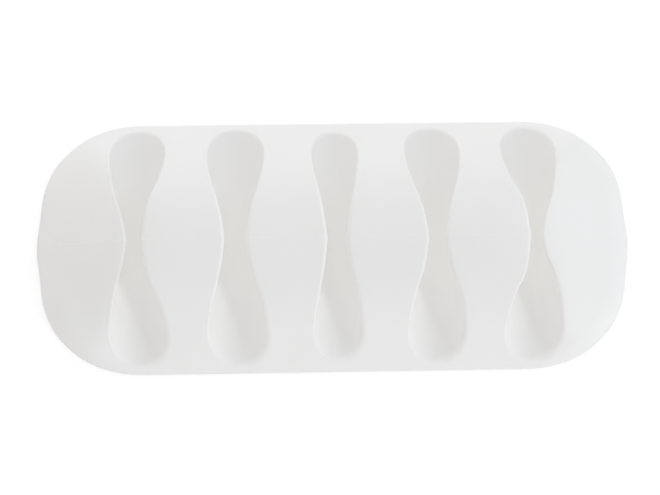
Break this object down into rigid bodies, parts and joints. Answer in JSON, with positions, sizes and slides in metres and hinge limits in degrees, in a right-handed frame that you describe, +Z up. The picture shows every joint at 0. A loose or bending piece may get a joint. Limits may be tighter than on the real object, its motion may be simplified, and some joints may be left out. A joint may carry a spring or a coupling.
{
  "type": "cable organizer",
  "caption": "Low domed silicone cable organiser: round channels with slit tops cross it between flexing lobes, and a foam adhesive pad holds it to a desk.",
  "frame": {"origin": "centre of the footprint, on the adhesive face that sits on the desk", "axes": "+X along the row of channels, +Y along each channel, +Z up from the desk"},
  "size_m": [0.066, 0.028, 0.009],
  "materials": {
    "silicone": "matte white silicone, slightly translucent",
    "foam_tape": "matte closed-cell foam with a tacky film"
  },
  "bodies": {
    "base": {"base": "silicone", "adhesive_pad": "foam_tape"},
    "lobe_1": {"lobe_1": "silicone"},
    "lobe_2": {"lobe_2": "silicone"},
    "lobe_3": {"lobe_3": "silicone"},
    "lobe_4": {"lobe_4": "silicone"},
    "lobe_5": {"lobe_5": "silicone"},
    "lobe_6": {"lobe_6": "silicone"}
  },
  "joints": [
    {"name": "lobe_1_flex", "type": "hinge", "parent": "base", "child": "lobe_1", "pos_m": [-0.02804, 0, 0.00288], "axis": [0, 1, 0], "range_deg": [-8, 8], "stiffness_Nm_per_rad": 0.05},
    {"name": "lobe_2_flex", "type": "hinge", "parent": "base", "child": "lobe_2", "pos_m": [-0.01597, 0, 0.00288], "axis": [0, 1, 0], "range_deg": [-8, 8], "stiffness_Nm_per_rad": 0.05},
    {"name": "lobe_3_flex", "type": "hinge", "parent": "base", "child": "lobe_3", "pos_m": [-0.0051, 0, 0.00288], "axis": [0, 1, 0], "range_deg": [-8, 8], "stiffness_Nm_per_rad": 0.05},
    {"name": "lobe_4_flex", "type": "hinge", "parent": "base", "child": "lobe_4", "pos_m": [0.0051, 0, 0.00288], "axis": [0, 1, 0], "range_deg": [-8, 8], "stiffness_Nm_per_rad": 0.05},
    {"name": "lobe_5_flex", "type": "hinge", "parent": "base", "child": "lobe_5", "pos_m": [0.01597, 0, 0.00288], "axis": [0, 1, 0], "range_deg": [-8, 8], "stiffness_Nm_per_rad": 0.05},
    {"name": "lobe_6_flex", "type": "hinge", "parent": "base", "child": "lobe_6", "pos_m": [0.02804, 0, 0.00288], "axis": [0, 1, 0], "range_deg": [-8, 8], "stiffness_Nm_per_rad": 0.05}
  ]
}
